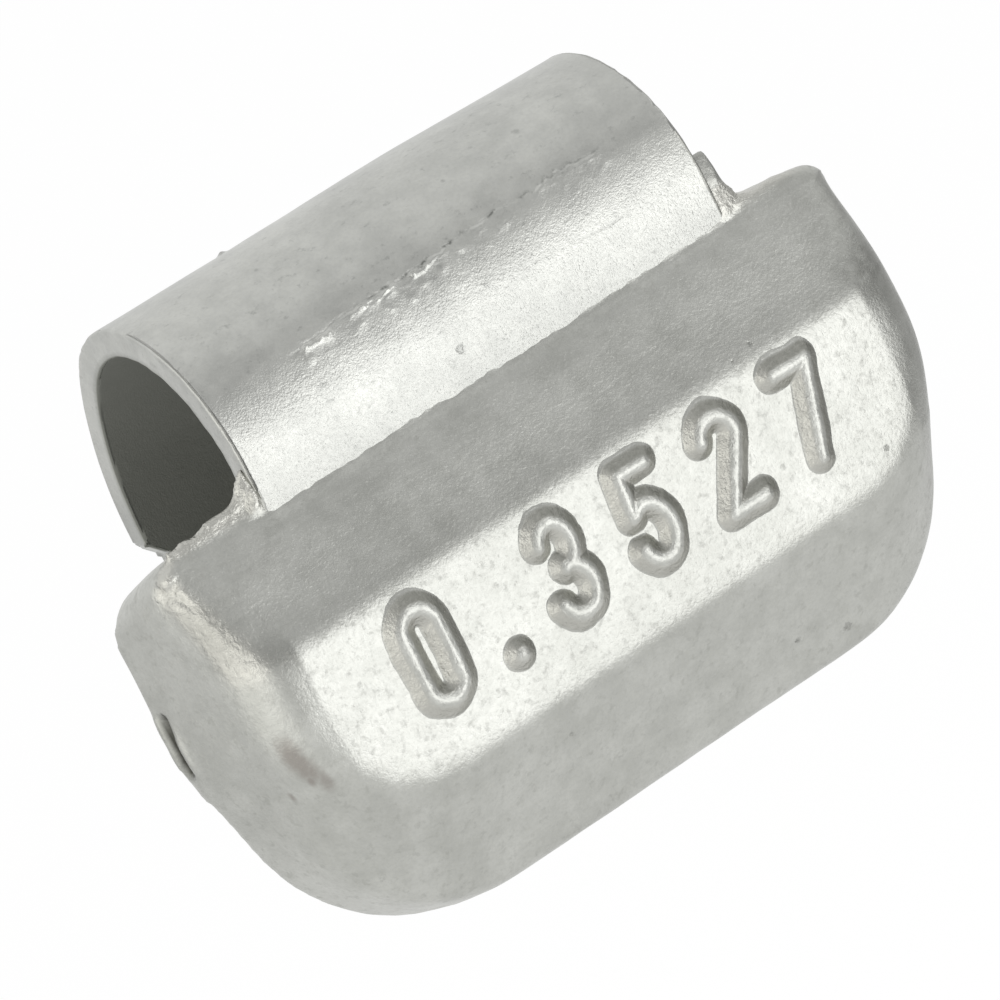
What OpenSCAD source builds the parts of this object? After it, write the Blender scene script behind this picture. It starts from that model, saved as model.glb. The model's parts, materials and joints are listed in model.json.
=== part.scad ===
// Clip-on wheel balance weight: a cast zinc body with a sprung steel clip cast into its top.
// X runs along the rim, -Y is the marked front face, +Z is up towards the rim's edge.
// The origin is the axis of the clip's arch, midway along the clip.

/* [Clip] */
// Thickness of the spring strip
strip_t = 0.85; // [0.5:0.05:1.2]
// Width of the strip, along the rim
strip_w = 16.2; // [10:0.1:19]
// Inner radius of the arch that goes over the rim's edge
arch_r = 3.5; // [2.8:0.1:5]
// Height of the arch's axis above the line where the front leg leaves the body
arch_rise = 1.3; // [0.5:0.1:3]
// Angle that the arch turns from the front leg before the free leg opens out, degrees
arch_turn = 135; // [110:5:160]
// Inner radius of the free leg's slow curve
leg_r = 6.85; // [5.5:0.05:10]
// Angle that the free leg's curve turns, degrees
leg_turn = 56; // [40:1:65]
// How far each side of the free leg's tip is set in
tip_inset = 0.55; // [0.2:0.05:2]
// Length of the free leg's tip below its sloping shoulders
tip_len = 0.8; // [0.4:0.1:1.5]
// How deep the foot goes into the casting
foot_depth = 6; // [4:0.5:8]
// Diameter of the anchor holes in the foot
anchor_d = 2.4; // [1.5:0.1:3]
// Distance between the anchor holes
anchor_gap = 8; // [4:0.5:10]

/* [Casting] */
// Length of the casting at its back face
body_len = 24.9; // [22:0.1:40]
// Height of the upper sloping face, above the marked face
upper_h = 3.45; // [2.5:0.05:5]
// Height of the marked face
face_h = 4.9; // [4:0.05:8]
// Height of the lower sloping face, below the marked face
lower_h = 4.5; // [3:0.05:6]
// How far the marked face stands ahead of the clip's front leg
face_out = 1.8; // [1.2:0.05:3]
// How far the upper edge is set back behind the clip's front surface
edge_back = 0.2; // [0.1:0.05:0.6]
// How far the lower edge is set back behind the marked face
lower_set = 2.4; // [1.5:0.05:3.5]
// Depth from the clip's front surface to the casting's back face
back_out = 3.25; // [2.5:0.05:5]
// Drop of the top towards the back, where the rim's edge sits
seat_drop = 1; // [0.5:0.1:2]
// Draft of the ends and of the underside, degrees
draft = 12; // [4:1:15]
// Radius between the marked face and the ends
end_round = 1.7; // [1:0.1:2]
// Radius of the marked face's lower corners
face_corner = 3; // [2:0.05:3.5]
// Radius of the casting's lower left corner, seen from the front
foot_corner_l = 5.4; // [3:0.1:6]
// Radius of the casting's lower right corner, seen from the front
foot_corner_r = 5; // [3:0.1:6]
// How far the ends narrow below their shoulders
foot_inset = 0.5; // [0.3:0.1:2]
// Radius of the shoulders on the ends
shoulder_round = 4; // [2:0.1:5]
// Height of the shoulders below the marked face's upper edge
shoulder_drop = 1.5; // [0.5:0.1:2.5]
// Radius of the casting's upper corners
top_corner = 0.8; // [0.4:0.05:1.2]
// Radius of the back face's upper corners
back_corner = 1.4; // [0.8:0.1:2]
// Radius of the casting's sharper edges
edge_round = 0.3; // [0.15:0.05:0.5]
// Height of the casting flash that has risen against the clip's left edge
flash_rise_l = 1.35; // [0.8:0.05:3]
// Height of the flash that has risen against the clip's right edge
flash_rise_r = 2.05; // [0.8:0.05:3]
// Thickness of the flash near its top
flash_t = 0.4; // [0.15:0.05:0.5]
// How far the flash is set back behind the clip's front surface
flash_back = 0.1; // [0.05:0.05:0.4]
// How far the broken-off gate stands out of the left end
gate_out = 0.2; // [0.1:0.05:0.4]
// Height of the gate's scar
gate_h = 2; // [1:0.1:3]
// Width of the gate's scar, from front to back
gate_w = 0.5; // [0.3:0.1:1]

/* [Hidden] */
$fn = 96;
hull_fn = 32;
eps = 0.01;

arch_out_r = arch_r + strip_t;
leg_front_y = -arch_out_r;
join_z = -arch_rise;
// each leg is tangent to the arch, a hair thinner, and runs a little into it
seam_step = 0.01;
seam_turn = 3;
seam_rise = 0.2;
leg_start = 180 - arch_turn;
leg_end = leg_start - leg_turn;
leg_shift = arch_r - leg_r;
leg_cy = leg_shift * cos(leg_start);
leg_cz = leg_shift * sin(leg_start);
leg_tip_z = leg_cz + leg_r * sin(leg_end);

face_y = leg_front_y - face_out;
edge_y = leg_front_y + edge_back;
lower_y = face_y + lower_set;
back_y = leg_front_y + back_out;
back_half = body_len / 2;
upper_z = join_z + upper_h * edge_back / (face_out + edge_back);
face_top_z = upper_z - upper_h;
face_low_z = face_top_z - face_h;
lower_z = face_low_z - lower_h;
back_top_z = upper_z - seat_drop;
// the ball in an upper corner touches the upper slope and the falling top
slope_a = atan2(upper_h, face_out + edge_back);
fall_a = atan2(seat_drop, back_out - edge_back);
ball_d = top_corner / cos((slope_a + fall_a) / 2);
ball_y = edge_y + ball_d * sin((slope_a - fall_a) / 2);
ball_z = upper_z - ball_d * cos((slope_a - fall_a) / 2);
// half length of the flat marked face, up to the roll that leads to the end
face_half = end_half(face_y) - end_round * tan(45 - draft / 2);
corner_x = face_half - face_corner;
corner_z = face_low_z + face_corner;
roll_step = 15;
flash_sink = 0.8;
gate_edge = 0.1;

// half length to the drafted plane of the end, at one depth
function end_half(y) = back_half - (back_y - y) * tan(draft);

// part of a bent strip: a band of the strip's section turned about the X axis
module bend(r, from_a, turn, thick) {
  rotate([90, 0, 90])
    rotate([0, 0, from_a])
      translate([0, 0, -strip_w / 2])
        rotate_extrude(angle = turn)
          translate([r, 0])
            square([thick, strip_w]);
}

// straight front leg with its foot, from the arch's axis down into the casting
module foot() {
  foot_z = join_z - foot_depth;
  difference() {
    translate([-strip_w / 2, leg_front_y + seam_step, foot_z])
      cube([strip_w, strip_t - 2 * seam_step, seam_rise - foot_z]);
    for (side = [-1, 1])
      translate([side * anchor_gap / 2, leg_front_y - eps, foot_z + foot_depth * 0.4])
        rotate([-90, 0, 0])
          cylinder(d = anchor_d, h = strip_t + 2 * eps);
  }
}

// cuts the free leg's sides back below a pair of sloping shoulders
module tip_cut() {
  shoulder_z = leg_tip_z + tip_len;
  for (side = [-1, 1])
    scale([side, 1, 1])
      rotate([90, 0, 0])
        translate([0, 0, -arch_out_r - leg_r])
          linear_extrude(arch_out_r + leg_r)
            polygon([
              [strip_w / 2 - tip_inset, leg_tip_z - 1],
              [strip_w / 2 + 1, leg_tip_z - 1],
              [strip_w / 2 + 1, shoulder_z + tip_inset + 1],
              [strip_w / 2 - tip_inset, shoulder_z],
            ]);
}

module clip() {
  color([0.72, 0.73, 0.72])
    difference() {
      union() {
        foot();
        bend(arch_r, leg_start, arch_turn, strip_t);
        translate([0, leg_cy, leg_cz])
          bend(leg_r + seam_step, leg_end, leg_turn + seam_turn, strip_t - 2 * seam_step);
      }
      tip_cut();
    }
}

// quarter disc at a lower right corner, with a rounded front edge
module corner_disc(x, y, z, r, edge, back_r, depth) {
  translate([x, y, z])
    rotate([-90, 0, 0])
      rotate_extrude(angle = 90, $fn = 2 * hull_fn)
        polygon([
          [0, 0],
          [r - edge, 0],
          [r - 0.3 * edge, 0.3 * edge],
          [r, edge],
          [back_r, depth],
          [0, depth],
        ]);
}

// the right half's edges and corners, which the casting is stretched over
module casting_corners(foot_corner) {
  // marked face, with a roll to the end that tightens along its lower corner
  translate([corner_x, face_y, corner_z])
    rotate([-90, 0, 0])
      rotate_extrude(angle = 90)
        square([face_corner, eps]);
  for (turn = [0 : roll_step : 90]) {
    r = end_round + (edge_round - end_round) * turn / 90;
    translate([corner_x + face_corner * cos(turn), face_y + r, corner_z - face_corner * sin(turn)])
      sphere(r = r, $fn = hull_fn);
  }
  translate([face_half, face_y + end_round, corner_z])
    cylinder(r = end_round, h = face_top_z - corner_z - 0.3 * edge_round, $fn = hull_fn);
  // upper edge of the marked face
  translate([0, face_y + edge_round, face_top_z - 0.3 * edge_round])
    rotate([0, 90, 0])
      cylinder(r = edge_round, h = face_half, $fn = hull_fn);
  // upper edge
  translate([0, edge_y, upper_z - edge_round])
    cube([end_half(edge_y) - 2 * top_corner, edge_round, edge_round]);
  // upper corner, touching the upper slope, the end and the falling top
  translate([end_half(ball_y) - top_corner / cos(draft), ball_y, ball_z])
    sphere(r = top_corner, $fn = hull_fn);
  // shoulder of the end, at the back face
  corner_disc(back_half - shoulder_round - eps, back_y - 2 * eps, face_top_z - shoulder_drop,
    shoulder_round, eps, shoulder_round + eps, 2 * eps);
  // lower corner, drafted out to the back
  corner_disc(end_half(lower_y) - foot_inset - foot_corner, lower_y, lower_z + foot_corner, foot_corner,
    edge_round, foot_corner + (back_y - lower_y) * tan(draft), back_y - lower_y);
  // upper corner of the back
  translate([back_half - back_corner, back_y - eps, back_top_z - back_corner])
    rotate([-90, 0, 0])
      cylinder(r = back_corner, h = eps, $fn = hull_fn);
}

// the casting's full outline, as one convex form
module casting() {
  hull() {
    casting_corners(foot_corner_r);
    mirror([1, 0, 0])
      casting_corners(foot_corner_l);
  }
}

// flash against the clip's right edge, spreading at its root
module flash(rise) {
  translate([strip_w / 2, leg_front_y + flash_back + strip_t, join_z])
    rotate([90, 0, 0])
      linear_extrude(strip_t)
        polygon([
          [0, -flash_sink],
          [0, rise],
          [0.8 * flash_t, 0.97 * rise],
          [flash_t, 0.92 * rise],
          [1.1 * flash_t, 0.68 * rise],
          [1.6 * flash_t, 0.47 * rise],
          [2 * flash_t, 0.3 * rise],
          [2.8 * flash_t, 0.17 * rise],
          [2.8 * flash_t, -flash_sink],
        ]);
}

// scar of the gate on the left end, beside the back edge: a low cap of a disc
module gate_scar() {
  cap_r = (gate_h * gate_h / 4 + gate_out * gate_out) / (2 * gate_out);
  translate([cap_r - back_half - gate_out, back_y - gate_edge - gate_w, face_top_z - shoulder_drop])
    rotate([-90, 0, 0])
      cylinder(r = cap_r, h = gate_w);
}

module weight_body() {
  color([0.66, 0.67, 0.65])
    difference() {
      union() {
        casting();
        flash(flash_rise_r);
        mirror([1, 0, 0])
          flash(flash_rise_l);
        gate_scar();
      }
      foot();
    }
}

weight_body();
clip();
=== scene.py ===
import json
import math
import bpy
import bmesh
import numpy as np
from mathutils import Matrix, Vector, noise

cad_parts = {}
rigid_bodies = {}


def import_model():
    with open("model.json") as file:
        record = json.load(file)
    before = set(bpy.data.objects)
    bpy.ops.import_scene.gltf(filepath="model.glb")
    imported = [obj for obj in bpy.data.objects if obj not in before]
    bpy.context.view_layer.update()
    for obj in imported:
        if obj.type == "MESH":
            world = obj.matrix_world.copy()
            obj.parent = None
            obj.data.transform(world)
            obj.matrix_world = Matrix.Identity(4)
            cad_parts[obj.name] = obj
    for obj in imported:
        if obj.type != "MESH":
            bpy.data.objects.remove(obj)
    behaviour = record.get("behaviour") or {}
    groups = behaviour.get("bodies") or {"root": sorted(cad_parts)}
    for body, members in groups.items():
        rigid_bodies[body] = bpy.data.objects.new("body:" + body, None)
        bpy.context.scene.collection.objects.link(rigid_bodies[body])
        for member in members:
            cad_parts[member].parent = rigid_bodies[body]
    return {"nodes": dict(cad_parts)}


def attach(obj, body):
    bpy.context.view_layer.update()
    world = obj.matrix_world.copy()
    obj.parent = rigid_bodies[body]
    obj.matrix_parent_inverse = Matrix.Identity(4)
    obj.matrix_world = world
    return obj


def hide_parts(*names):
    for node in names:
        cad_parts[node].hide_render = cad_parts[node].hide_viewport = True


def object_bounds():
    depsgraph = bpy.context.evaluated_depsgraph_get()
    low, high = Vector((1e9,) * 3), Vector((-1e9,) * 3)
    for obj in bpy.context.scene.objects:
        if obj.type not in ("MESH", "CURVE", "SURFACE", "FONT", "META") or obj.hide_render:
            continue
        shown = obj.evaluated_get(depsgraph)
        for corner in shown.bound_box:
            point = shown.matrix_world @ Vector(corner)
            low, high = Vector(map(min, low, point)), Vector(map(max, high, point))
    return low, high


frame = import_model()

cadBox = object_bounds()
mm = 0.001
print("frame loaded:", list(frame["nodes"]))


# shader maths

class Wire:
    # a shader value: sums and products of wires add their own Math nodes
    def __init__(self, tree, socket):
        self.tree = tree
        self.socket = socket

    def make(self, kind, settings=None, inputs=None, output=0):
        node = self.tree.nodes.new(kind)
        for key, value in (settings or {}).items():
            setattr(node, key, value)
        for key, value in (inputs or {}).items():
            if isinstance(value, Wire):
                self.tree.links.new(value.socket, node.inputs[key])
            else:
                node.inputs[key].default_value = value
        return Wire(self.tree, node.outputs[output])

    def sum(self, operation, *others):
        return self.make("ShaderNodeMath", {"operation": operation}, dict(enumerate((self,) + others)))

    def __add__(self, other):
        return self.sum("ADD", other)

    def __radd__(self, other):
        return self.sum("ADD", other)

    def __sub__(self, other):
        return self.sum("SUBTRACT", other)

    def __rsub__(self, other):
        return self.make("ShaderNodeMath", {"operation": "SUBTRACT"}, {0: other, 1: self})

    def __mul__(self, other):
        return self.sum("MULTIPLY", other)

    def __rmul__(self, other):
        return self.sum("MULTIPLY", other)

    def between(self, low, high):
        # 0 below low, 1 above high, smooth in between
        return self.make("ShaderNodeMapRange", {"interpolation_type": "SMOOTHSTEP"},
                         {"Value": self, "From Min": low, "From Max": high})

    def noise(self, scale, detail=3.0, rough=0.55, warp=0.0):
        return self.make("ShaderNodeTexNoise", None, {"Vector": self, "Scale": scale, "Detail": detail,
                                                      "Roughness": rough, "Distortion": warp})

    def mapped(self, turn=(0, 0, 0), scale=(1, 1, 1)):
        return self.make("ShaderNodeMapping", None, {"Vector": self, "Rotation": turn, "Scale": scale})

    def part(self, axis):
        return self.make("ShaderNodeSeparateXYZ", None, {0: self}, axis)

    def away(self, centre):
        return self.make("ShaderNodeVectorMath", {"operation": "DISTANCE"}, {0: self, 1: centre}, 1)

    def painted(self, name):
        return self.make("ShaderNodeAttribute", {"attribute_name": name}, None, 2)

    def spots(self, places, rough):
        # 1 inside each spot (x, y, z, radius), 0 outside; rough makes their soft edges ragged
        mask = None
        for x, y, z, radius in places:
            reach = self.away((x, y, z)) + (rough - 0.5) * radius * 2.5
            spot = 1 - reach.between(radius * 0.3, radius * 1.9)
            mask = spot if mask is None else mask.sum("MAXIMUM", spot)
        return mask


def blendColours(share, first, second):
    return share.make("ShaderNodeMix", {"data_type": "RGBA"}, {0: share, 6: first, 7: second}, 2)


def startMaterial(name):
    material = bpy.data.materials.new(name)
    material.use_nodes = True
    tree = material.node_tree
    tree.nodes.clear()
    output = tree.nodes.new("ShaderNodeOutputMaterial")
    coords = Wire(tree, tree.nodes.new("ShaderNodeTexCoord").outputs["Object"])
    # the patterns are sized in millimetres
    place = coords.make("ShaderNodeVectorMath", {"operation": "SCALE"}, {0: coords, "Scale": 1 / mm})
    return material, tree, output, place


def finishMetal(tree, output, colour, roughness, height):
    # the height is in millimetres
    bump = colour.make("ShaderNodeBump", None, {"Height": height, "Distance": mm, "Strength": 1.0})
    shader = colour.make("ShaderNodeBsdfPrincipled", None,
                         {"Base Color": colour, "Roughness": roughness, "Metallic": 1.0, "Normal": bump})
    tree.links.new(shader.socket, output.inputs["Surface"])


zincLook = {
    "dark": (0.425, 0.43, 0.402, 1),
    "light": (0.525, 0.53, 0.5, 1),
    "speck": (0.31, 0.312, 0.29, 1),
    "stain": (0.29, 0.272, 0.25, 1),
    "pit": (0.12, 0.12, 0.11, 1),
    "flank": (0.45, 0.443, 0.405, 1),
    # colour of the painted shade on the figures' flanks that face up and to the right
    "flankShade": (0.26, 0.262, 0.235, 1),
    # lighter, warmer colour of the wrinkled skin: a painted warm highlight
    "wrinkle": (0.54, 0.53, 0.485, 1),
    # near-black colour for the painted shade in the gate's slit and in darker patches
    "scar": (0.06, 0.06, 0.052, 1),
    "roughness": 0.37,
    # how strongly the grain, the stain and the pits colour the metal
    "speckShare": 0.3,
    "sandShare": 0.18,
    "stainShare": 0.9,
    "pitShare": 0.6,
    # heights of the grain in millimetres
    "heights": {"sand": 0.012, "fine": 0.004, "speck": 0.014, "cloud": 0.012, "flow": 0.003, "pits": 0.012},
    "flankHeights": {"sand": 0.014, "fine": 0.004},
    "wrinkleHeight": 0.05,
    "flowSlant": 28,        # degrees
    # places and radii
    "pits": [(4.26, -4.48, -12.44, 0.09), (6.02, -4.16, -13.03, 0.12), (-3.64, -5.44, -10.64, 0.07),
             (6.21, -5.98, -4.11, 0.08), (5.43, -6.06, -4.25, 0.06), (8.5, -6.15, -8.69, 0.06)],
    "stains": [(-11.1, -5.5, -6.95, 0.24), (-10.98, -5.55, -7.3, 0.2), (-10.78, -5.58, -7.5, 0.18),
               (-10.6, -5.6, -7.8, 0.17), (-10.95, -5.5, -7.85, 0.1), (-11.3, -4.6, -8.2, 0.08)],
}


def zincMaterial(name, flanks=False):
    look = zincLook
    material, tree, output, place = startMaterial(name)
    broad = place.noise(0.28, 4.0, 0.6, 0.5)
    cloud = place.noise(1.2, 5.0, 0.6)
    speck = place.noise(3.4, 3.0, 0.65)
    sand = place.noise(9.0, 2.0, 0.6)
    fine = place.noise(19.0, 1.0, 0.5)
    # faint flow lines on the upper slope, slanting down to the right
    upper = place.part(2).between(-5.0, -4.0)
    slanted = place.mapped(turn=(0, math.radians(look["flowSlant"]), 0), scale=(0.55, 3.0, 5.5))
    flow = slanted.noise(1.0, 4.0, 0.65) * upper + 0.5 * (1 - upper)
    # the upper slope is painted a little lighter: painted light on the slope that faces up
    tone = (broad * 0.35 + cloud * 0.4 + flow * 0.25 + upper * 0.05).between(0.36, 0.64)
    colour = blendColours(tone, look["dark"], look["light"])
    colour = blendColours(speck.between(0.54, 0.72) * look["speckShare"], colour, look["speck"])
    colour = blendColours(sand.between(0.35, 0.75) * look["sandShare"], colour, look["speck"])
    # the stain's spots are twice as tall as they are wide
    stain = place.mapped(scale=(1.0, 1.0, 0.5))
    stained = [(x, y, z * 0.5, radius) for x, y, z, radius in look["stains"]]
    stain = stain.spots(stained, (speck + cloud) * 0.5)
    colour = blendColours(stain * look["stainShare"], colour, look["stain"])
    pits = place.spots(look["pits"], sand)
    colour = blendColours(pits * look["pitShare"], colour, look["pit"])
    high = look["heights"]
    height = sand * high["sand"] + fine * high["fine"] + speck * high["speck"]
    height = height + cloud * high["cloud"] + flow * high["flow"] - pits * high["pits"]
    if flanks:
        flank = place.painted("flank")
        colour = blendColours(flank * 0.6, colour, look["flank"])
        # painted shade on the figures' flanks that face up and to the right
        colour = blendColours(place.painted("flankShade") * (sand * 0.9 + 0.35), colour, look["flankShade"])
        high = look["flankHeights"]
        height = height + flank * (sand * high["sand"] + fine * high["fine"])
    else:
        # wrinkled skin on the flash and the left upper corner, painted lighter and warmer as a painted warm
        # highlight;
        # painted shade in the gate's slit and in some darker patches
        wrinkled = place.painted("wrinkled")
        colour = blendColours(wrinkled * 0.5, colour, look["wrinkle"])
        # painted shade: near-black in the gate's slit, darker in some patches
        colour = blendColours(place.painted("scar"), colour, look["scar"])
        height = height + wrinkled * place.noise(4.5, 3.0, 0.6, 0.5) * look["wrinkleHeight"]
    roughness = cloud * 0.08 + sand * 0.06 + speck.between(0.5, 0.7) * 0.1 + (look["roughness"] - 0.07)
    finishMetal(tree, output, colour, roughness, height)
    return material


steelLook = {
    "dark": (0.455, 0.46, 0.437, 1),
    "light": (0.55, 0.555, 0.526, 1),
    # colour of scuffs, pits and scratches, and of the painted shade just above the casting
    "scuffAndShade": (0.27, 0.275, 0.262, 1),
    # dark colour of the painted shade on the clip's inner face
    "inside": (0.235, 0.24, 0.218, 1),
    "grime": (0.11, 0.115, 0.105, 1),
    "roughness": 0.35,
    # how strongly the grain and the grime colour the metal
    "speckShare": 0.6,
    "sandShare": 0.12,
    "grimeShare": 0.85,
    # heights of the grain in millimetres, and how much more of it the formed front has
    "heights": {"sand": 0.004, "fine": 0.0015, "smear": 0.012, "speck": 0.004, "pits": 0.01,
                "scratch": 0.006},
    "frontHeights": {"sand": 0.009, "fine": 0.004, "speck": 0.010},
    # places and radii
    "pits": [(-0.92, -4.34, -0.34, 0.09), (4.43, -2.48, 3.57, 0.08), (-4.1, -1.9, 3.95, 0.06),
             (1.7, -2.6, 3.5, 0.05)],
    "scratch": (4.75, -4.33, 0.42, 0.05),
    "scratchStretch": 0.09,
}


def steelMaterial():
    look = steelLook
    material, tree, output, place = startMaterial("plated spring steel")
    along = place.mapped(scale=(0.75, 1.0, 1.0))
    broad = place.noise(0.35, 4.0, 0.6, 0.4)
    smear = along.noise(1.5, 5.0, 0.62)
    speck = along.noise(3.6, 5.0, 0.7)
    sand = place.noise(10.0, 2.0, 0.6)
    fine = place.noise(20.0, 1.0, 0.5)
    tone = (broad * 0.5 + smear * 0.5).between(0.36, 0.64)
    colour = blendColours(tone, look["dark"], look["light"])
    colour = blendColours(speck.between(0.57, 0.74) * look["speckShare"], colour, look["scuffAndShade"])
    colour = blendColours(sand.between(0.35, 0.75) * look["sandShare"], colour, look["scuffAndShade"])
    # painted shade: darker just above the casting
    low = 1 - place.part(2).between(-1.5, 0.4)
    colour = blendColours(low * (smear * 0.4 + 0.1), colour, look["scuffAndShade"])
    pits = place.spots(look["pits"], sand)
    x, y, z, radius = look["scratch"]
    stretch = look["scratchStretch"]
    scratch = place.mapped(scale=(stretch, 1.0, 1.0)).spots([(x * stretch, y, z, radius)], speck)
    colour = blendColours(pits * 0.5 + scratch * sand * 0.5, colour, look["scuffAndShade"])
    # painted shade: the inner face is painted dark
    inner = place.painted("inner")
    colour = blendColours(inner, colour, look["inside"])
    grime = place.painted("grime") * sand.between(0.25, 0.55) * look["grimeShare"]
    colour = blendColours(grime, colour, look["grime"])
    roughness = smear * 0.08 + sand * 0.08 + inner * 0.35 + (look["roughness"] - 0.08)
    # the formed front is grainier than the top
    front = 1 - place.part(2).between(0.8, 2.8)
    high, extra = look["heights"], look["frontHeights"]
    height = sand * (front * extra["sand"] + high["sand"]) + fine * (front * extra["fine"] + high["fine"])
    height = height + smear * high["smear"] + speck * (front * extra["speck"] + high["speck"])
    height = height - pits * high["pits"] - scratch * high["scratch"]
    finishMetal(tree, output, colour, roughness, height)
    return material


def mixedStageMaterial(name, diffuse, share):
    # partly lit, so that shadows stay, and partly plain white to the camera and in reflections
    material, tree, output, place = startMaterial(name)
    rays = tree.nodes.new("ShaderNodeLightPath")
    seen = Wire(tree, rays.outputs["Is Camera Ray"])
    for other in ("Is Glossy Ray", "Is Transmission Ray"):
        seen = seen.sum("MAXIMUM", Wire(tree, rays.outputs[other]))
    lit = place.make("ShaderNodeBsdfDiffuse", None, {"Color": diffuse})
    plain = place.make("ShaderNodeEmission", None, {"Color": (1, 1, 1, 1), "Strength": 1.0})
    mixed = place.make("ShaderNodeMixShader", None, {0: seen * share, 1: lit, 2: plain})
    tree.links.new(mixed.socket, output.inputs["Surface"])
    return material


# modelling helpers; shapes are made in millimetres

def softNoise(points, size, seed):
    shift = Vector((seed * 7.3, seed * 3.1, seed * 5.7))
    return np.array([noise.noise(Vector(p) / size + shift) for p in points])


def smoothStep(values, low, high):
    t = np.clip((values - low) / (high - low), 0, 1)
    return t * t * (3 - 2 * t)


def meshArrays(mesh):
    points = np.empty(len(mesh.vertices) * 3)
    normals = np.empty(len(mesh.vertices) * 3)
    mesh.vertices.foreach_get("co", points)
    mesh.vertices.foreach_get("normal", normals)
    return points.reshape(-1, 3), normals.reshape(-1, 3)


def addPiece(name, mesh, material):
    mesh.materials.clear()
    mesh.materials.append(material)
    mesh.shade_smooth()
    piece = bpy.data.objects.new(name, mesh)
    bpy.context.scene.collection.objects.link(piece)
    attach(piece, "root")
    return piece


def paint(mesh, name, values):
    layer = mesh.attributes.new(name, "FLOAT", "POINT")
    layer.data.foreach_set("value", np.ascontiguousarray(values, dtype=np.float32))


def storePoints(mesh, points):
    mesh.vertices.foreach_set("co", np.ascontiguousarray(points * mm).ravel())
    mesh.update()


# the cast body

bodyShape = {
    "voxel": 0.12,
    "crisp": 2,             # smoothing passes over everything
    "early": 10,            # passes up to which the upper slope is smoothed too
    "rounding": 24,         # passes in all, which round the edges
    "endRounding": 60,      # further passes where the front turns into the ends
    "topEdge": -0.955,      # height of the casting's upper edge
    "joinZ": -1.3,          # where the upper slope meets the clip's front
    "leftEnd": -12.45,
    "stripEnd": 8.1,        # half the clip's width
    "stripFront": -4.35,    # front surface of the clip's leg
    # heights in millimetres
    "wave": 0.022,
    "ripple": 0.010,
    "wrinkle": 0.022,       # of the skin between the front and the left end
    "cornerWrinkle": 0.04,
    "crease": 0.14,
    "cornerSwell": 0.07,
    "flashWrinkle": 0.035,
    "edgeWave": 0.02,       # of the ragged edge along the clip
    "edgeGrain": 0.03,
    "edgeSink": 0.05,
    "leftCorner": 0.1,
    "rightDent": 0.14,
    "lipWave": 0.17,        # of the lower back edge
    "lipGrain": 0.06,
    "slitDepth": 0.3,       # of the gate's scar
    "faceDrop": 0.16,       # the face's upper and lower edges sit this much lower than the solid's
    # how much darker some patches are painted: the flake, and painted shade elsewhere
    "darkFlake": 0.3,
    "shadeStrip": 0.16,
    "shadeBand": 0.22,
    "shadeCorner": 0.24,
    "shadeCornerGrain": 0.3,
    "shadeSlope": 0.13,
    "shadeRight": 0.08,
}

flashShape = {
    "beads": 110,                       # along the clip's front
    "beadSize": (0.14, 0.08, 0.1),
    "ridgeStart": -11.0,                # of the ridge on the left upper edge
    "ridgeLumps": 26,
    "ridgePitch": 0.115,
    # lumps on the strip's left cut end: place and radius
    "leftLumps": [(-8.16, -4.2, -0.75, 0.3), (-8.14, -4.12, -0.38, 0.24), (-8.14, -4.12, -0.08, 0.2),
                  (-8.2, -3.72, -0.62, 0.22), (-8.28, -4.26, -1.1, 0.2)],
    # flat flake on a spreading root at the right edge: height, reach, length, lean
    "flakes": [(0.23, 0.47, 0.98, -0.35), (-0.45, 0.54, 0.5, 0.0), (-0.7, 0.72, 0.4, 0.0),
               (-1.0, 1.0, 0.3, 0.0)],
    "flakeDepth": (-3.84, 0.74),        # middle and thickness
    "rightLumps": [(8.3, -4.24, -0.3, 0.13), (8.5, -4.22, -0.6, 0.13), (8.42, -4.25, -0.98, 0.17),
                   (8.14, -4.32, -1.12, 0.15), (8.13, -4.32, -0.92, 0.13), (8.14, -4.32, -0.74, 0.11),
                   (8.12, -4.31, -0.56, 0.11), (8.13, -4.3, -0.38, 0.09)],
    # lips of the broken gate: depth, height, how far they stand out, length
    "gateLips": [(-1.36, -5.6, 0.17, 0.62), (-1.33, -6.3, 0.14, 0.6), (-1.82, -6.0, 0.08, 0.85)],
    "endBump": ((12.02, -3.6, -4.4), (0.13, 0.6, 0.8)),
}


def lump(bm, place, size, turn=0.0):
    spot = Matrix.Translation(place) @ Matrix.Rotation(turn, 4, "Y") @ Matrix.Diagonal((*size, 1))
    bmesh.ops.create_icosphere(bm, subdivisions=2, radius=1.0, matrix=spot)


def slab(bm, place, size, lean=0.0):
    spot = Matrix.Translation(place) @ Matrix.Rotation(lean, 4, "X") @ Matrix.Diagonal((*size, 1))
    bmesh.ops.create_cube(bm, size=1.0, matrix=spot)


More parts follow.
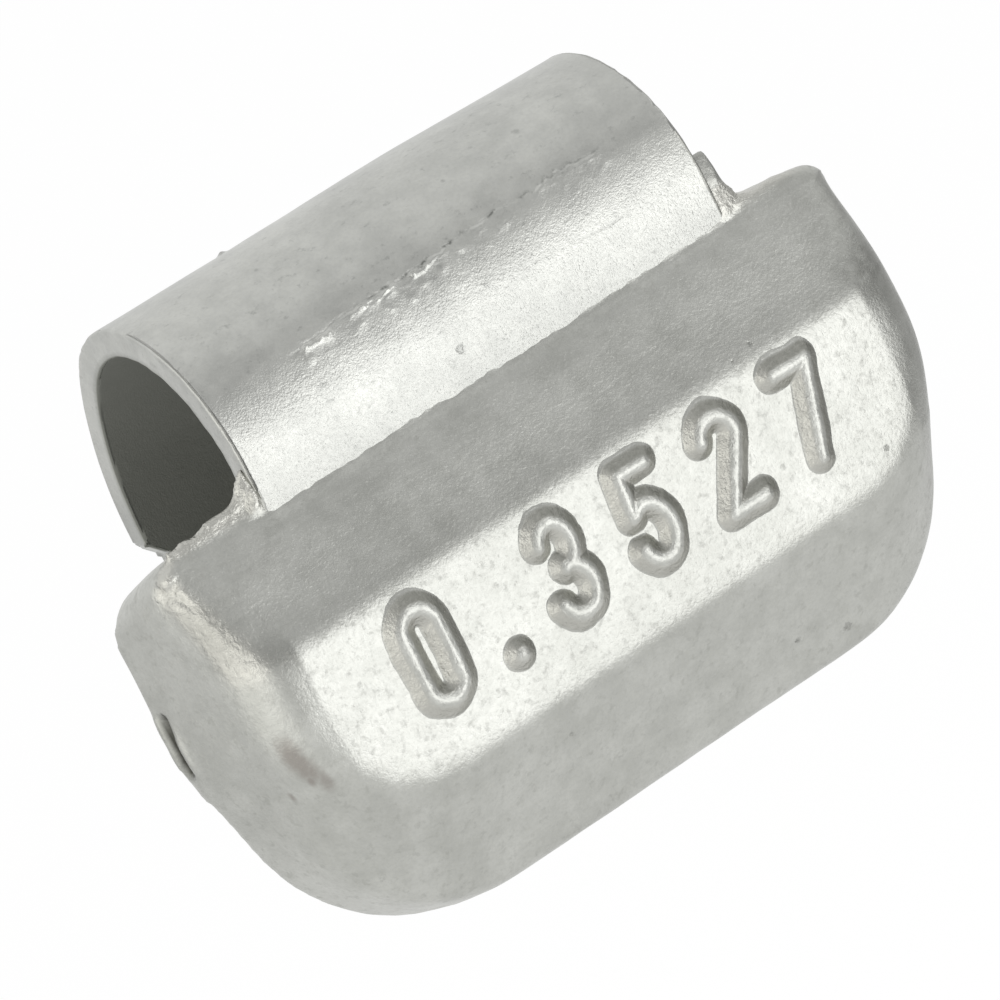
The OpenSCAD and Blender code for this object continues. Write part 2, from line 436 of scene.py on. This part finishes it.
def addFlash(bm):
    shape = bodyShape
    flash = flashShape
    end = shape["stripEnd"]
    # ragged bead of zinc along the clip's front
    for i in range(flash["beads"]):
        x = -end + 0.1 + i * (2 * end - 0.2) / (flash["beads"] - 1)
        lift = 0.5 * noise.noise(Vector((x * 1.1, 3.7, 0))) + noise.noise(Vector((x * 6.1, 1.2, 0)))
        lump(bm, (x, shape["stripFront"] + 0.03, shape["joinZ"] - 0.11 + 0.04 * lift), flash["beadSize"])
    # lumpy ridge on the upper edge, rising towards the clip's left end
    for i in range(flash["ridgeLumps"]):
        x = flash["ridgeStart"] + i * flash["ridgePitch"]
        rise = 0.14 + 0.22 * smoothStep(x, -10.2, -8.8) + 0.62 * smoothStep(x, -8.75, -8.25)
        rise += 0.12 * math.exp(-((x + 9.75) / 0.1) ** 2) + 0.1 * noise.noise(Vector((x * 3.1, 0, 0)))
        y = -4.05 + 0.09 * noise.noise(Vector((x * 2.7, 5, 0)))
        lump(bm, (x, y, shape["topEdge"] - 0.1 + rise * 0.45), (0.12, 0.14, 0.1 + rise * 0.55))
    # lumps that have crept over the strip's cut end, and round its foot
    for x, y, z, r in flash["leftLumps"]:
        lump(bm, (x, y, z), (r * 0.6, r * 0.8, r))
    # flash against the clip's right edge
    middle, thick = flash["flakeDepth"]
    for z, out, tall, lean in flash["flakes"]:
        slab(bm, (end + out / 2 - 0.1, middle, z), (out + 0.2, thick, tall), lean)
    for x, y, z, r in flash["rightLumps"]:
        lump(bm, (x, y, z), (r, r * 0.6, r * 1.3), 0.5)
    # the broken gate's lips on the left end
    for y, z, out, tall in flash["gateLips"]:
        lump(bm, (shape["leftEnd"] + 0.04, y, z), (out, 0.12, tall))
    # small bump on the right end
    lump(bm, *flash["endBump"])


def stretchSkin():
    # a fine shell over the plain casting, its flash and its gate's lips
    shape = bodyShape
    bm = bmesh.new()
    bm.from_mesh(frame["nodes"]["weight_body"].data)
    bmesh.ops.scale(bm, vec=(1 / mm,) * 3, verts=bm.verts)
    bmesh.ops.remove_doubles(bm, verts=bm.verts, dist=0.002)
    # the solid's own flash and scar come off, because addFlash makes them again, lumpy
    strays = [v for v in bm.verts
              if v.co.z > shape["topEdge"] + 0.01 or v.co.x < shape["leftEnd"] - 0.005]
    bmesh.ops.delete(bm, geom=strays, context="VERTS")
    bmesh.ops.delete(bm, geom=bm.edges[:], context="EDGES_FACES")
    bmesh.ops.convex_hull(bm, input=bm.verts[:])
    bmesh.ops.delete(bm, geom=[v for v in bm.verts if not v.link_faces], context="VERTS")
    addFlash(bm)
    draft = bpy.data.meshes.new("castingDraft")
    bm.to_mesh(draft)
    bm.free()
    block = bpy.data.objects.new("castingDraft", draft)
    bpy.context.scene.collection.objects.link(block)
    remesh = block.modifiers.new("skin", "REMESH")
    remesh.mode = "VOXEL"
    remesh.voxel_size = shape["voxel"]
    bpy.context.view_layer.update()
    stretched = block.evaluated_get(bpy.context.evaluated_depsgraph_get())
    skin = bpy.data.meshes.new_from_object(stretched)
    bpy.data.objects.remove(block)

    bm = bmesh.new()
    bm.from_mesh(skin)
    for turn in range(shape["rounding"] + shape["endRounding"]):
        # the flash stays crisp while the casting's own edges are rounded, most of all beside its ends
        if turn < shape["crisp"]:
            soft = bm.verts[:]
        elif turn < shape["rounding"]:
            upTo = -1.75 if turn < shape["early"] else -3.0
            soft = [v for v in bm.verts if v.co.z < upTo and v.co.x > -12.2]
        else:
            soft = [v for v in bm.verts if abs(v.co.x) > 9.9 and v.co.y < -3.9 and -8.6 < v.co.z < -1.5]
        bmesh.ops.smooth_vert(bm, verts=soft, factor=0.5, use_axis_x=True, use_axis_y=True,
                              use_axis_z=True)
    bm.to_mesh(skin)
    bm.free()
    return skin


def makeCastBody():
    shape = bodyShape
    skin = stretchSkin()
    points, normals = meshArrays(skin)
    x, y, z = points.T
    # the skin of a die casting is never quite flat
    move = shape["wave"] * softNoise(points, 3.4, 1) + shape["ripple"] * softNoise(points, 1.1, 2)
    onFace = smoothStep(-y, 6.0, 6.12)
    move *= 1 - 0.75 * onFace
    # wrinkled skin where the front turns into the left end, with two creases that cross near its top
    turned = np.degrees(np.arctan2(-normals[:, 0], -normals[:, 1]))
    band = smoothStep(turned, 14, 30) * (1 - smoothStep(turned, 58, 72)) * smoothStep(z, -4.9, -4.2)
    corner = band * smoothStep(z, -3.2, -2.2)
    flashed = smoothStep(z, -1.25, -0.95) * smoothStep(-y, 3.2, 3.6)
    wrinkled = np.clip(band + flashed * ((x < 0) | (z < -0.25)), 0, 1)
    fold = 0.6 * softNoise(points, 0.55, 3) + 0.4 * softNoise(points, 0.28, 6)
    creaseA = np.exp(-(((x + 11.62) * 0.85 + (z + 1.75) * 0.53) / 0.1) ** 2)
    creaseB = np.exp(-(((x + 11.55) * 0.6 - (z + 1.8) * 0.8) / 0.09) ** 2)
    near = np.exp(-((x + 11.6) ** 2 + (z + 1.75) ** 2) / 0.35 - ((y + 4.35) / 0.55) ** 2)
    move += (band * shape["wrinkle"] * fold + corner * shape["cornerWrinkle"] * fold
             - near * shape["crease"] * np.maximum(creaseA, creaseB))
    move += near * shape["cornerSwell"] + flashed * shape["flashWrinkle"] * fold
    # ragged edge where the upper slope meets the clip
    edge = np.exp(-((z - shape["joinZ"]) / 0.22) ** 2) * smoothStep(-y, 4.0, 4.25) * (np.abs(x) < 8.6)
    move += edge * (shape["edgeWave"] * softNoise(points, 0.7, 7)
                    + shape["edgeGrain"] * softNoise(points, 0.25, 10) - shape["edgeSink"])
    # the left upper corner is a little squarer than the right one
    square = np.exp(-((x + 12.0) ** 2 + (z + 1.8) ** 2) / 1.2)
    move += shape["leftCorner"] * square * smoothStep(y, -4.2, -3.0)
    # shallow dent below the right upper corner
    move -= shape["rightDent"] * np.exp(-((z + 2.2) / 1.0) ** 2) * smoothStep(x, 11.0, 12.0)
    # ragged lip along the lower back edge
    lip = smoothStep(y, -2.4, -1.3) * smoothStep(-z, 12.9, 13.9)
    alongX = points * np.array([1, 0.2, 0.2])
    ragged = softNoise(alongX, 1.5, 4) * shape["lipWave"] + softNoise(alongX, 0.45, 5) * shape["lipGrain"]
    points = points + normals * (move + lip * ragged)[:, None]
    # the face's edges go down a little, the lower one more
    front = smoothStep(z, -13.0, -9.7) * (1 - smoothStep(z, -4.3, -1.6)) * smoothStep(-y, 4.0, 5.4)
    points[:, 2] -= shape["faceDrop"] * front * (1 + 0.25 * smoothStep(-z, 7.0, 9.0))
    # slit between the gate's lips
    slit = np.exp(-((y + 1.66 + 0.05 * (z + 6.0)) / 0.15) ** 2) * smoothStep(-z, 5.0, 5.3)
    slit *= (1 - smoothStep(-z, 6.8, 7.1)) * smoothStep(-x, 11.9, 12.1)
    points[:, 0] += slit * shape["slitDepth"]
    low = np.array(cadBox[0]) / mm
    high = np.array(cadBox[1]) / mm
    points = np.clip(points, low, high)
    storePoints(skin, points)
    paint(skin, "wrinkled", wrinkled)
    # the flake on the right is painted darker, and painted shade darkens a strip between the wrinkled band
    # and the face
    shadePaint = smoothStep(x, 8.0, 8.1) * smoothStep(z, -0.35, -0.05) * shape["darkFlake"]
    beside = smoothStep(turned, 3, 9) * (1 - smoothStep(turned, 18, 28))
    shadePaint += beside * smoothStep(z, -6.6, -5.0) * (1 - smoothStep(z, -4.3, -3.5)) * shape["shadeStrip"]
    # painted shade darkens the band except near its lower end, which keeps a painted highlight
    bright = np.exp(-((z + 4.45) / 0.6) ** 2)
    shadePaint += band * (1 - bright) * smoothStep(-z, 1.9, 2.8) * shape["shadeBand"]
    # grainy painted shade at the face's right upper corner
    cornerShade = np.exp(-((x - 10.5) ** 2 + (z + 4.1) ** 2) / 0.5) * smoothStep(-y, 4.6, 5.0)
    shadePaint += cornerShade * (shape["shadeCorner"] + shape["shadeCornerGrain"] * softNoise(points, 0.3, 26))
    # painted shade on the slope just above the face, and on the whole front towards its right end
    above = np.exp(-((z + 3.9) / 0.55) ** 2) * smoothStep(-y, 4.4, 4.8)
    shadePaint += shape["shadeSlope"] * above * (1 - band)
    right = smoothStep(x, 9.0, 10.4) * smoothStep(-y, 4.0, 4.6) * smoothStep(z, -9.2, -8.0)
    shadePaint += shape["shadeRight"] * right
    # painted shade: the slit is painted near-black, the patches darker
    paint(skin, "scar", np.clip(slit * 2.5 + shadePaint, 0, 1))
    body = addPiece("castBody", skin, zincMaterial("die-cast zinc"))
    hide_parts("weight_body")
    print("cast body:", len(skin.polygons), "faces")


# raised figures on the front face

figureShape = {
    "text": "0.3527",
    "height": 3.65,
    "width": 2.1,
    "gap": 0.78,
    "pointWidth": 1.0,
    "centre": (0.1, -6.5),  # across and up the face
    "faceY": -6.15,
    "sunk": 0.08,           # how far the figures' foot lies in the face
    "rise": 0.28,
    "base": 0.49,           # half width of a stroke where it leaves the face
    "crest": 0.11,          # half width of its rounded top
    "step": 0.045,          # of the fine sheet
    "border": 0.15,         # of the sheet round the figures
    "wobble": 0.045,        # how uneven the strokes are
    "grain": 0.015,
    "unevenRise": 0.02,
    "depth": 0.4,           # how far the slab behind the sheet goes into the casting
}


def arc(cx, cz, rx, rz, start, end, count=14):
    return [(cx + rx * math.cos(math.radians(start + (end - start) * i / count)),
             cz + rz * math.sin(math.radians(start + (end - start) * i / count))) for i in range(count + 1)]


def strokesOf(sign, w, h):
    # centre lines of one figure, in a box w wide and h high
    if sign == "0":
        return [arc(w / 2, h - w / 2, w / 2, w / 2, 0, 180) + arc(w / 2, w / 2, w / 2, w / 2, 180, 360)
                + [(w, h - w / 2)]]
    if sign == "3":
        upper = h * 0.25
        return [arc(w * 0.46, h - upper, w * 0.46, upper, 160, -90)
                + arc(w * 0.47, upper * 1.03, w * 0.52, upper * 1.03, 88, -160)]
    if sign == "5":
        return [[(w * 0.96, h), (w * 0.14, h), (w * 0.06, h * 0.55)]
                + arc(w * 0.46, h * 0.31, w * 0.52, h * 0.31, 128, -155, 20)]
    if sign == "2":
        return [arc(w * 0.5, h - w * 0.5, w * 0.5, w * 0.5, 170, -35) + [(0.0, 0.0), (w, 0.0)]]
    if sign == "7":
        return [[(0.0, h), (w, h), (w * 0.28, 0.0)]]
    # the point
    return [[(w / 2, 0.0), (w / 2, 0.03)]]


def makeFigures():
    shape = figureShape
    signs = shape["text"]
    line = 2 * shape["base"]
    widths = [shape["pointWidth"] if sign == "." else shape["width"] for sign in signs]
    total = sum(widths) + shape["gap"] * (len(signs) - 1)
    left = shape["centre"][0] - total / 2
    bottom = shape["centre"][1] - shape["height"] / 2
    segments = []
    for sign, wide in zip(signs, widths):
        for stroke in strokesOf(sign, wide - line, shape["height"] - line):
            track = [(left + shape["base"] + px, bottom + shape["base"] + pz) for px, pz in stroke]
            segments += list(zip(track[:-1], track[1:]))
        left += wide + shape["gap"]
    spanX, spanZ = total + 2 * shape["border"], shape["height"] + 2 * shape["border"]
    bm = bmesh.new()
    # a fine sheet on the face, raised where a stroke passes
    upright = Matrix.Translation((shape["centre"][0], shape["faceY"], shape["centre"][1]))
    upright = upright @ Matrix.Rotation(math.radians(90), 4, "X")
    upright = upright @ Matrix.Diagonal((spanX / 2, spanZ / 2, 1, 1))
    bmesh.ops.create_grid(bm, x_segments=round(spanX / shape["step"]),
                          y_segments=round(spanZ / shape["step"]), size=1.0, matrix=upright)
    sheet = np.array([v.co for v in bm.verts])
    near = np.full(len(sheet), 9.0)
    facing = np.zeros((len(sheet), 2))
    for (ax, az), (bx, bz) in segments:
        dx, dz = bx - ax, bz - az
        along = np.clip(((sheet[:, 0] - ax) * dx + (sheet[:, 2] - az) * dz) / (dx * dx + dz * dz), 0, 1)
        offset = sheet[:, [0, 2]] - np.stack([ax + along * dx, az + along * dz], 1)
        reach = np.hypot(*offset.T)
        closer = reach < near
        near[closer] = reach[closer]
        facing[closer] = offset[closer] / (reach[closer, None] + 1e-6)
    # worn and slightly uneven strokes
    near = near + shape["wobble"] * softNoise(sheet, 0.6, 8) + shape["grain"] * softNoise(sheet, 0.2, 21)
    climb = np.clip((shape["base"] - near) / (shape["base"] - shape["crest"]), -0.6, 1.3)
    # straight flanks with a softly rounded crest and foot
    ridge = np.where(climb < 0.72, climb, 0.72 + 0.36 * (1 - np.exp(-(climb - 0.72) / 0.36)))
    ridge = 0.07 * np.log(1 + np.exp(ridge / 0.07)) - 0.045 - np.maximum(-climb - 0.1, 0)
    height = ridge * (shape["rise"] + shape["unevenRise"] * softNoise(sheet, 1.4, 9)) / 0.93
    flank = smoothStep(climb, 0.03, 0.2) * (1 - smoothStep(climb, 0.7, 0.95))
    for vert, up in zip(bm.verts, height):
        vert.co.y = shape["faceY"] - max(up, -shape["sunk"])
    # painted shade: the flanks that face up and to the right are painted darker
    flankShade = flank * np.clip(0.75 * facing[:, 0] + 0.95 * facing[:, 1] - 0.1, 0, 1)
    for name, values in (("flank", flank), ("flankShade", flankShade)):
        layer = bm.verts.layers.float.new(name)
        for vert, value in zip(bm.verts, values):
            vert[layer] = value
    # a closed slab: the sheet's border goes back into the casting
    back = bmesh.ops.extrude_face_region(bm, geom=bm.faces[:], use_keep_orig=True)
    for vert in [g for g in back["geom"] if isinstance(g, bmesh.types.BMVert)]:
        vert.co.y = shape["faceY"] + shape["depth"]
    bmesh.ops.recalc_face_normals(bm, faces=bm.faces[:])
    bmesh.ops.scale(bm, vec=(mm,) * 3, verts=bm.verts)
    mesh = bpy.data.meshes.new("faceFigures")
    bm.to_mesh(mesh)
    bm.free()
    addPiece("faceFigures", mesh, zincMaterial("zinc of the figures", flanks=True))
    print("figures:", len(mesh.polygons), "faces")


# the spring clip

clipShape = {
    "thick": 0.85,
    "wide": 16.2,
    "archR": 3.5,
    "legR": 6.85,
    "footZ": -7.3,
    "buried": 5.4,          # height of the foot that the casting hides
    "tipInset": 0.55,
    "shoulderZ": -2.876,
    "across": 240,          # divisions along the rim
    "layers": 4,            # divisions of its thickness
    "footSteps": (5, 9),    # in the casting, and from there up to the arch's axis
    # steps and turn of each stretch of the arch and of the free leg, finest along the flow line
    # and where the sides are cut back near the tip
    "archSweeps": [(20, 25), (56, 19), (42, 91)],
    "legSweeps": [(14, 43), (18, 13)],
    "edge": 0.07,           # rounding of the cut edges
    # heights in millimetres
    "dent": 0.010,
    "wave": 0.03,
    "crease": 0.055,
    "secondCrease": 0.6,    # share of that height
    "groove": 0.012,
    "bulge": 0.1,
    "burr": 0.1,
    "endBurr": 0.025,
    "stand": 0.12,          # how far the bulge may stand above the solid
    # the flow line: places along the clip, and degrees up the arch there
    "flowLine": ([-5.4, -2.0, 2.7, 6.0], [23.5, 27.2, 30.6, 29.6]),
}


def sweep(bm, cap, steps, lift=0.0, centre=(0, 0, 0), turn=0.0):
    # pulls the capping faces along, straight up or round an axis along X, and returns the new cap
    region = dict.fromkeys(cap)
    for face in cap:
        region.update(dict.fromkeys(face.edges))
        region.update(dict.fromkeys(face.verts))
    swept = bmesh.ops.spin(bm, geom=list(region), cent=centre, axis=(1, 0, 0), dvec=(0, 0, lift / steps),
                           angle=-math.radians(turn), steps=steps, use_merge=False,
                           use_duplicate=False)
    return [part for part in swept["geom_last"] if isinstance(part, bmesh.types.BMFace)]


def makeClip():
    shape = clipShape
    thick, wide, archR = shape["thick"], shape["wide"], shape["archR"]
    bm = bmesh.new()
    section = Matrix.Translation((0, -archR - thick / 2, shape["footZ"]))
    section = section @ Matrix.Diagonal((wide / 2, thick / 2, 1, 1))
    bmesh.ops.create_grid(bm, x_segments=shape["across"], y_segments=shape["layers"], size=1.0,
                          matrix=section)
    start = math.radians(180 - sum(turn for steps, turn in shape["archSweeps"]))
    shift = archR - shape["legR"]
    legY = shift * math.cos(start)
    legZ = shift * math.sin(start)
    cap = sweep(bm, bm.faces[:], shape["footSteps"][0], lift=shape["buried"])
    cap = sweep(bm, cap, shape["footSteps"][1], lift=-shape["footZ"] - shape["buried"])
    for steps, turn in shape["archSweeps"]:
        cap = sweep(bm, cap, steps, turn=turn)
    for steps, turn in shape["legSweeps"]:
        cap = sweep(bm, cap, steps, centre=(0, legY, legZ), turn=turn)
    bmesh.ops.remove_doubles(bm, verts=bm.verts, dist=0.0005)
    bmesh.ops.recalc_face_normals(bm, faces=bm.faces[:])
    # sloping shoulders near the free tip
    half = wide / 2
    for vert in bm.verts:
        if vert.co.y > 3.0:
            limit = half - shape["tipInset"] + min(max(vert.co.z - shape["shoulderZ"], 0), shape["tipInset"])
            vert.co.x *= limit / half
    rims = [e for e in bm.edges if len(e.link_faces) == 2 and e.calc_face_angle(0) > math.radians(50)]
    bmesh.ops.bevel(bm, geom=rims, offset=shape["edge"], offset_type="OFFSET", segments=2, profile=0.5,
                    affect="EDGES", material=-1)
    bmesh.ops.recalc_face_normals(bm, faces=bm.faces[:])
    mesh = bpy.data.meshes.new("springClip")
    bm.to_mesh(mesh)
    bm.free()
    points, normals = meshArrays(mesh)
    x, y, z = points.T
    # how far through the strip each point lies: 0 outside, 1 inside
    onLeg = (z < y * math.tan(start)) & (y > 0)
    radius = np.where(onLeg, np.hypot(y - legY, z - legZ) - shape["legR"], np.hypot(y, z) - archR)
    radius = np.where((z < 0) & (y < 0), -y - archR, radius)
    inner = 1 - smoothStep(radius, 0.02, 0.10)
    outer = smoothStep(radius, 0.7, 0.83)
    up = np.degrees(np.arctan2(z, -y))
    move = shape["dent"] * softNoise(points, 1.2, 11) + shape["wave"] * softNoise(points, 4.0, 12) * outer
    # a ragged crease runs along the front of the arch, rising a little to the right
    flat = points * np.array([1, 0, 0])
    line = np.interp(x, *shape["flowLine"])
    line += (1.3 * softNoise(flat, 0.9, 13) + 1.0 * softNoise(flat, 0.25, 14)
             + 0.9 * softNoise(flat, 0.13, 25))
    reach = smoothStep(x, -5.5, -4.9) * (1 - smoothStep(x, 5.6, 6.1))
    faint = smoothStep(x, -0.6, 0.8) * (1 - smoothStep(x, 3.4, 3.9))
    patches = smoothStep(softNoise(flat, 0.55, 15) + 0.3 - 0.4 * faint, -0.05, 0.15)
    patches *= 1 - 0.55 * smoothStep(x, -0.8, 0.8)
    spread = np.where(up > line, 0.7, 2.0)
    beads = 0.45 + 1.8 * np.abs(softNoise(points, 0.15, 16)) + 0.4 * softNoise(points, 0.45, 20)
    ridge = np.exp(-((up - line) / spread) ** 2)
    move += outer * reach * patches * shape["crease"] * ridge * beads
    # a few smaller beads below it, and dark marks above it
    second = np.exp(-((up - line + 5.0 + 3.0 * softNoise(flat, 0.5, 22)) / 1.2) ** 2)
    some = smoothStep(softNoise(points, 0.35, 23), 0.1, 0.35)
    move += outer * reach * shape["secondCrease"] * shape["crease"] * second * some
    stripe = np.exp(-((up - line - 1.3 - 1.2 * softNoise(flat, 0.2, 24)) / 0.6) ** 2)
    darkest = smoothStep(x, -2.8, -1.8) * (1 - 0.6 * smoothStep(x, 2.8, 3.2))
    marks = smoothStep(softNoise(flat, 0.4, 19) + 0.1, 0.0, 0.3) * (0.25 + 0.75 * darkest)
    grime = outer * reach * marks * stripe
    move -= outer * reach * shape["groove"] * stripe
    # the arch bulges slightly along its top, and has one small burr there
    move += outer * smoothStep(up, 40, 90) * shape["bulge"] * np.exp(-((x - 1.5) / 5.0) ** 2)
    move += outer * shape["burr"] * np.exp(-((x + 3.57) ** 2 + (y - 0.98) ** 2) / 0.015) * (z > 3)
    # small burrs on the cut ends
    ends = smoothStep(np.abs(x), half - 0.12, half - 0.01)
    move += ends * shape["endBurr"] * softNoise(points, 0.35, 18) * (y < 3.0)
    points = points + normals * move[:, None]
    low = np.array(cadBox[0]) / mm
    high = np.array(cadBox[1]) / mm + shape["stand"]
    points = np.clip(points, low, high)
    storePoints(mesh, points)
    # the inner face's mask, which carries painted shade
    paint(mesh, "inner", inner)
    paint(mesh, "grime", grime)
    clip = addPiece("springClip", mesh, steelMaterial())
    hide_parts("clip")
    print("clip:", len(mesh.polygons), "faces")


# stage

stageLook = {
    "floorZ": -85.0,
    "floorSize": 3.0,           # metres
    "floorWhite": (0.97, 0.97, 0.97, 1),
    "floorPlain": 0.75,         # share of plain white that the camera and reflections see
    "target": (0, -3, -5),      # what the lamps and cards face
    "away": 150.0,              # their distance from it
    # lamps: turn from -Y towards +X, lift above the horizon, width, height, brightness, colour
    "lamps": {
        "keyLamp": (22.5, -15.0, 118.0, 172.0, 1.48, (1, 1, 1)),
        "warmLamp": (-74.0, 10.0, 240.0, 200.0, 0.44, (1, 0.98, 0.9)),
        "warmSpot": (-54.0, 10.0, 44.0, 36.0, 1.6, (1, 0.985, 0.95)),
    },
    # grey cards that show in the metal as darker bands: turn, lift, width, height, shades below and above
    "cards": {
        "overCard": (20.0, 55.0, 230.0, 130.0, 0.53, 1.0),
        "gapCard": (-14.0, 22.0, 64.0, 130.0, 0.36, 0.36),
        "rightCard": (63.0, -8.0, 80.0, 130.0, 0.4, 0.4),
        "farRightCard": (100.0, -8.0, 120.0, 130.0, 0.6, 0.6),
        "leftCard": (-132.0, -10.0, 130.0, 130.0, 0.86, 0.86),
    },
}


def studioSpot(turn, lift):
    # the place at that turn and lift, facing the part
    turn, lift = math.radians(turn), math.radians(lift)
    flat = math.cos(lift)
    way = Vector((flat * math.sin(turn), -flat * math.cos(turn), math.sin(lift)))
    place = Vector(stageLook["target"]) * mm + way * stageLook["away"] * mm
    return Matrix.Translation(place) @ way.to_track_quat("Z", "Y").to_matrix().to_4x4()


def cardMaterial(name, low, high, shades):
    # glows from the first shade at its lower edge to the second at its upper edge
    material, tree, output, place = startMaterial(name)
    up = place.part(2).between(low / mm, high / mm)
    grey = blendColours(up, (shades[0],) * 3 + (1,), (shades[1],) * 3 + (1,))
    glow = place.make("ShaderNodeEmission", None, {"Color": grey, "Strength": 1.0})
    tree.links.new(glow.socket, output.inputs["Surface"])
    return material


def flatSheet(name, size, spot):
    bm = bmesh.new()
    bmesh.ops.create_grid(bm, x_segments=1, y_segments=1, size=size, matrix=spot)
    mesh = bpy.data.meshes.new(name)
    bm.to_mesh(mesh)
    bm.free()
    sheet = bpy.data.objects.new(name, mesh)
    bpy.context.scene.collection.objects.link(sheet)
    return sheet


def makeStage():
    look = stageLook
    floor = flatSheet("floor", look["floorSize"], Matrix.Translation((0, 0, look["floorZ"] * mm)))
    floor.data.materials.append(mixedStageMaterial("pale floor", look["floorWhite"], look["floorPlain"]))

    for name, (turn, lift, wide, tall, *shades) in look["cards"].items():
        spot = studioSpot(turn, lift) @ Matrix.Diagonal((wide / 2 * mm, tall / 2 * mm, 1, 1))
        card = flatSheet(name, 1.0, spot)
        heights = [v.co.z for v in card.data.vertices]
        card.data.materials.append(cardMaterial(name, min(heights), max(heights), shades))
        card.visible_camera = False
        card.visible_diffuse = False
        card.visible_shadow = False

    world = bpy.data.worlds.new("studio")
    bpy.context.scene.world = world
    world.use_nodes = True
    background = world.node_tree.nodes["Background"]
    background.inputs["Color"].default_value = (1, 1, 1, 1)
    background.inputs["Strength"].default_value = 1.0

    for name, (turn, lift, wide, tall, radiance, colour) in look["lamps"].items():
        lamp = bpy.data.lights.new(name, "AREA")
        lamp.shape = "RECTANGLE"
        lamp.size = wide * mm
        lamp.size_y = tall * mm
        lamp.color = colour
        lamp.energy = radiance * math.pi * lamp.size * lamp.size_y
        holder = bpy.data.objects.new(name, lamp)
        holder.matrix_world = studioSpot(turn, lift)
        holder.visible_camera = False
        bpy.context.scene.collection.objects.link(holder)
    print("stage set")


photoView = {
    "place": (-62.87, -137.14, 29.16),
    "turn": 24.67,              # degrees
    "down": 12.95,
    "roll": 26.83,
    "lens": 200.34,
    "sensor": 36.0,
    "nearest": 0.01,            # metres
}


def makeCamera():
    view = photoView
    camera = bpy.data.cameras.new("photoCamera")
    camera.sensor_fit = "HORIZONTAL"
    camera.sensor_width = view["sensor"]
    camera.lens = view["lens"]
    camera.clip_start = view["nearest"]
    holder = bpy.data.objects.new("photoCamera", camera)
    holder.matrix_world = (Matrix.Translation(Vector(view["place"]) * mm)
                           @ Matrix.Rotation(math.radians(-view["turn"]), 4, "Z")
                           @ Matrix.Rotation(math.radians(90 - view["down"]), 4, "X")
                           @ Matrix.Rotation(math.radians(-view["roll"]), 4, "Z"))
    bpy.context.scene.collection.objects.link(holder)
    bpy.context.scene.camera = holder


makeCamera()
makeStage()
makeCastBody()
makeFigures()
makeClip()

bpy.context.scene.view_settings.view_transform = "Standard"
bpy.context.view_layer.update()
